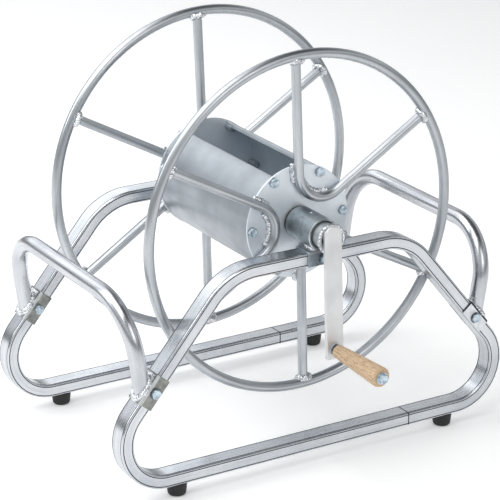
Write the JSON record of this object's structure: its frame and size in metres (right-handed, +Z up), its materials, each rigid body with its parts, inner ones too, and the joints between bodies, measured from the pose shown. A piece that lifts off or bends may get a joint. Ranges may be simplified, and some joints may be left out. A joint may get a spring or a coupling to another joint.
{
  "type": "hose reel",
  "caption": "Free-standing hand-crank hose reel: a sheet drum between two spoked hoops, turning in bent-tube side frames joined by U-shaped carrying handles.",
  "frame": {"origin": "floor level, under the middle of the whole object's box", "axes": "+X along the drum axis towards the crank, +Y along the base rails towards the rear handle, +Z up"},
  "size_m": [0.5524, 0.653, 0.611],
  "materials": {
    "frame_tube": "extruded, bright satin",
    "handle_tube": "drawn, satin",
    "flange_tube": "drawn, satin",
    "drum_sheet": "mill finish sheet, satin",
    "crank_metal": "mill finish, satin",
    "bracket_steel": "dark grey, slightly worn",
    "housing_steel": "dull galvanised pipe",
    "zinc": "bright zinc plate",
    "nylon": "matte, black",
    "rubber": "matte moulded",
    "black_plastic": "matte",
    "beech": "turned, bare"
  },
  "bodies": {
    "frame": {"right_side_frame": "frame_tube", "left_side_frame": "frame_tube", "rail_sleeves": "frame_tube", "front_handle": "handle_tube", "rear_handle": "handle_tube", "front_right_bracket": "bracket_steel", "front_left_bracket": "bracket_steel", "rear_right_bracket": "bracket_steel", "rear_left_bracket": "bracket_steel", "right_saddle": "bracket_steel", "left_saddle": "bracket_steel", "bracket_bolts": "zinc", "bracket_nuts": "zinc", "right_bearing_housing": "housing_steel", "left_bearing_housing": "housing_steel", "right_bearing_bush": "nylon", "left_bearing_bush": "nylon", "ball_oilers": "zinc", "rubber_feet": "rubber", "foot_studs": "zinc"},
    "drum": {"drum_shell": "drum_sheet", "right_end_plate": "drum_sheet", "left_end_plate": "drum_sheet", "shell_bosses": "drum_sheet", "plate_bolts": "zinc", "right_hoop": "flange_tube", "left_hoop": "flange_tube", "right_spokes": "flange_tube", "left_spokes": "flange_tube", "drum_shaft": "crank_metal", "shaft_end_cap": "black_plastic", "thrust_washers": "nylon", "crank_arm": "crank_metal", "grip_bolt": "zinc", "grip_washers": "zinc", "grip_nuts": "zinc"},
    "grip": {"wooden_grip": "beech"}
  },
  "joints": [
    {"name": "drum_spin", "type": "hinge", "parent": "frame", "child": "drum", "pos_m": [-0.0719, 0, 0.35357], "axis": [1, 0, 0], "continuous": true},
    {"name": "grip_spin", "type": "hinge", "parent": "drum", "child": "grip", "pos_m": [0.2131, 0.00674, 0.1857], "axis": [1, 0, 0], "continuous": true}
  ]
}
